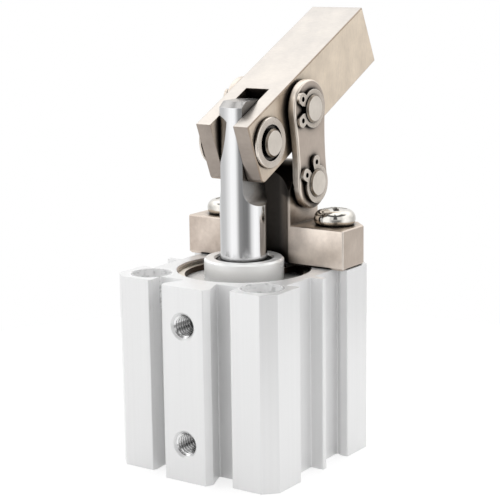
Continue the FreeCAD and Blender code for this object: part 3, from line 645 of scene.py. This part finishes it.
# Painted shade in the fork and beside the links and pins.
arm_shades = [
    dict(reach=0.010, low=0.15, high=0.58, deepest=0.26),
    dict(reach=0.003, low=0.40, high=0.88, deepest=0.50),
]
arm_metal = nickel_plate(
    "nickel_arm", dark=(0.30, 0.235, 0.18), light=(0.44, 0.36, 0.285), rough=0.30,
    stretch=(1.0, 60.0, 25.0), tilt=arm_tilt, wear_and_edge_light=0.6, edge=(0.25, 0.19, 0.145),
    faces=arm_faces, shades=arm_shades,
)
dress(arm_metal, "clamp_arm")


# Link plates. Two plates of the same nickel plated steel, stamped and tumbled until their rims are round,
# one on each side of the arm. Their rims are painted pale as a highlight and their flat faces darker, and
# painted shade rings the pins. They carry the arm on one pin and swing on another.
link_face_dark = (0.50, 0.425, 0.365)
link_face_light = (0.58, 0.50, 0.435)

# Painted light: the rims take the pale tones as a highlight and the flat faces darker ones; painted shade
# rings the pins.
link_metal = nickel_plate(
    "nickel_links", dark=(0.72, 0.64, 0.56), light=(0.84, 0.77, 0.69), rough=0.36,
    stretch=(1.0, 1.0, 3.0), wear_and_edge_light=0.3, edge=(0.9, 0.85, 0.78),
    faces=[dict(way=way, dark=link_face_dark, light=link_face_light) for way in (rightward, leftward)],
    shades=[
        dict(reach=0.002, low=0.56, high=0.98, deepest=0.03),
        dict(reach=0.001, low=0.55, high=0.92, deepest=0.05),
    ],
)
dress(link_metal, "link_plate_right", "link_plate_left")


# Pins. Three turned steel pins, nickel plated, join rod, arm, links and clevis; their ends are painted
# bright and their sides dark for the light on them, their edges carry a painted highlight, and painted
# shade rings them. The rod's pin is held by plain rings, the other two by eared rings in grooves, and the
# rings' edges carry a painted highlight too.
pin_end_dark = (0.69, 0.63, 0.56)
pin_end_light = (0.83, 0.765, 0.69)
# Painted shade round the pins and rings.
pin_shades = [
    dict(reach=0.002, low=0.58, high=0.97, deepest=0.04),
    dict(reach=0.001, low=0.55, high=0.90, deepest=0.08),
]

# Painted light: ends bright, sides dark, and edges with a painted highlight.
pin_metal = nickel_plate(
    "nickel_pins", dark=(0.16, 0.13, 0.10), light=(0.30, 0.25, 0.20), rough=0.28,
    stretch=(1.0, 1.0, 1.0), wear_and_edge_light=0.35, edge=(0.95, 0.91, 0.86),
    faces=[dict(way=way, dark=pin_end_dark, light=pin_end_light) for way in (rightward, leftward)],
    shades=pin_shades,
)
dress(pin_metal, "rod_end_pin", "link_pin", "clevis_pin")
# Painted highlight on the rings' edges, and painted shade round them.
ring_metal = nickel_plate(
    "nickel_rings", dark=(0.60, 0.53, 0.46), light=(0.74, 0.67, 0.60), rough=0.26,
    stretch=(1.0, 1.0, 1.0), wear_and_edge_light=0.6, edge=(0.95, 0.90, 0.84), shades=pin_shades,
)
dress(
    ring_metal,
    "link_pin_ring_right", "link_pin_ring_left", "clevis_pin_ring_right", "clevis_pin_ring_left",
    "rod_pin_ring_right", "rod_pin_ring_left",
)


# Clevis. A cross bar and a post milled from one block of steel and nickel plated. The post carries the
# clevis pin and is scooped out round the rod, and painted shade darkens it there and close under the arm.
# Its front is painted paler to the right, its chamfers and edges carry a painted highlight, and painted
# shade gathers in its crevices.
forward = (0.0, -1.0, 0.0)
corner_way = (0.7071, -0.7071, 0.0)
scoop_radius = 0.0098
scoop_darkest = 0.96
scoop_palest = 0.10
scoop_dark_until = 0.0026
scoop_pale_from = 0.0064
under_arm_darkest = 0.92
under_arm_from = 0.0540
under_arm_full = 0.0560
under_arm_back = 0.0135
under_arm_front = 0.0125


def scoop_painted_shade(tree):
    """Painted shade: 1 where none is painted, falling in the middle of the scoop and on what is close under
    the arm.
    """
    pale_right = progress(tree, rightward, scoop_dark_until, scoop_pale_from)
    pale_left = progress(tree, leftward, scoop_dark_until, scoop_pale_from)
    pale = calculate("MAXIMUM", pale_right, pale_left)
    hollow = spread(calculate("MULTIPLY", pale, pale), scoop_darkest, scoop_palest)
    hollow = calculate("MULTIPLY", near_axis(tree, 0.0, 0.0, scoop_radius), hollow)
    high = progress(tree, upward, under_arm_from, under_arm_full)
    in_front = progress(tree, forward, -under_arm_back, -under_arm_front)
    under_arm = calculate("MULTIPLY", calculate("MULTIPLY", high, in_front), under_arm_darkest)
    return spread(calculate("MAXIMUM", hollow, under_arm), 1.0, 0.0)


# Painted light: front paler to the right, chamfers and edges bright as a highlight, and painted shade in
# crevices and the scoop.
clevis_metal = nickel_plate(
    "nickel_clevis", dark=(0.56, 0.475, 0.405), light=(0.66, 0.57, 0.495), rough=0.31,
    stretch=(30.0, 1.0, 1.0), wear_and_edge_light=0.6, edge=(0.85, 0.77, 0.69),
    faces=[
        dict(
            way=forward, dark=(0.42, 0.35, 0.30), light=(0.92, 0.82, 0.73),
            along=(rightward, -0.014, 0.012),
        ),
        dict(way=upward, dark=(0.60, 0.50, 0.41), light=(0.70, 0.60, 0.50)),
        dict(way=corner_way, dark=(0.92, 0.84, 0.76), light=(1.0, 0.92, 0.84)),
    ],
    shades=[
        dict(reach=0.010, low=0.15, high=0.48, deepest=0.15),
        dict(reach=0.002, low=0.35, high=0.80, deepest=0.25),
    ],
    painted_shade=scoop_painted_shade,
)
dress(clevis_metal, "clevis")


# Clevis screws. Two pan head machine screws with cross recesses, turned, pressed and bright nickel
# plated, hold the clevis down on the barrel. The edges of the recess are soft under the plating.
head_rise = 0.0036
crown_radius = 0.0129
crown_rings = 60
shoulder_radius = 0.00195
shoulder_reach = 0.00255
shoulder_height = 0.00135
shoulder_rings = 40
shank_radius = 0.0025
shank_tip = 0.0004
seat_round = 0.00003
wing_angle = radians(40.0)
wing_half_width = 0.00062
wing_half_length = 0.0026
wing_wall = 0.00016
wing_depth = 0.0020
wing_depth_at_tip = 0.0008
screw_columns = 240


def screw_rings(shank_length):
    """Radius and height over the clevis of each ring, from the middle of the head down to the tip."""
    crown_centre = head_rise - crown_radius
    crown_end = atan2(shoulder_reach, shoulder_height - crown_centre)
    shoulder_start = pi / 2 - crown_end
    shoulder_end = asin(-shoulder_height / shoulder_radius)
    rings = []
    for step in range(1, crown_rings + 1):
        angle = crown_end * step / crown_rings
        rings.append((crown_radius * sin(angle), crown_centre + crown_radius * cos(angle)))
    for step in range(1, shoulder_rings + 1):
        angle = shoulder_start + (shoulder_end - shoulder_start) * step / shoulder_rings
        reach = shoulder_reach + shoulder_radius * cos(angle)
        rings.append((reach, shoulder_height + shoulder_radius * sin(angle)))
    rings += [(reach - seat_round, 0.0), (shank_radius + seat_round, 0.0), (shank_radius, -seat_round)]
    rings += [(shank_radius, shank_tip - shank_length), (shank_radius - shank_tip, -shank_length)]
    return rings


def recess_drop(x, y):
    """How far the cross recess sinks the head at x and y, with walls that slope a little."""
    drop = 0.0
    for turn in (wing_angle, wing_angle + pi / 2):
        along = abs(x * cos(turn) + y * sin(turn))
        across = abs(y * cos(turn) - x * sin(turn))
        inside = min((wing_half_width - across) / wing_wall, (wing_half_length - along) / wing_wall)
        inside = max(0.0, min(1.0, inside))
        soft_inside = inside * inside * (3.0 - 2.0 * inside)
        deep = wing_depth + (wing_depth_at_tip - wing_depth) * along / wing_half_length
        drop = max(drop, deep * soft_inside)
    return drop


def screw_piece(name, node):
    """A head with its recess and a plain shank, as one closed skin where the CAD screw is."""
    low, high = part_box(node)
    centre_x = (low[0] + high[0]) / 2
    centre_y = (low[1] + high[1]) / 2
    seat = high[2] - head_rise
    rings = screw_rings(seat - low[2])
    points = [(centre_x, centre_y, high[2] - recess_drop(0.0, 0.0))]
    for radius, rise in rings:
        for column in range(screw_columns):
            turn = 2 * pi * column / screw_columns
            x = radius * cos(turn)
            y = radius * sin(turn)
            drop = recess_drop(x, y) if rise > shoulder_height else 0.0
            points.append((centre_x + x, centre_y + y, seat + rise - drop))
    points.append((centre_x, centre_y, low[2]))
    faces = []
    last = len(points) - 1
    for column in range(screw_columns):
        next_column = (column + 1) % screw_columns
        faces.append((0, 1 + column, 1 + next_column))
        faces.append((last, last - screw_columns + next_column, last - screw_columns + column))
        for ring in range(len(rings) - 1):
            here = 1 + ring * screw_columns
            after = here + screw_columns
            faces.append((here + column, after + column, after + next_column, here + next_column))
    mesh = bpy.data.meshes.new(name)
    mesh.from_pydata(points, [], faces)
    mesh.validate()
    for polygon in mesh.polygons:
        polygon.use_smooth = True
    screw = bpy.data.objects.new(name, mesh)
    bpy.context.scene.collection.objects.link(screw)
    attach(screw, "cylinder")
    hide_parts(node)
    return screw


screw_metal, shader, tree = new_finish("bright_nickel", (0.70, 0.67, 0.62), 0.08)
tarnish = stretched_noise(tree, size=0.0012)
bright = two_tone(tarnish, (0.56, 0.53, 0.48), (0.78, 0.76, 0.72))
# Painted shade: the recess and the seat of the head darken where shade falls.
bright = dimmed(bright, painted_crevice_shade(tree, reach=0.0016, low=0.30, high=0.80, deepest=0.03))
join(bright, shader.inputs["Base Color"])
join(spread(tarnish, 0.05, 0.14), shader.inputs["Roughness"])
relief(shader, tarnish, depth=0.000004, strength=0.3)
for side in ("right", "left"):
    screw_piece("screw_" + side, "clevis_screw_" + side).data.materials.append(screw_metal)
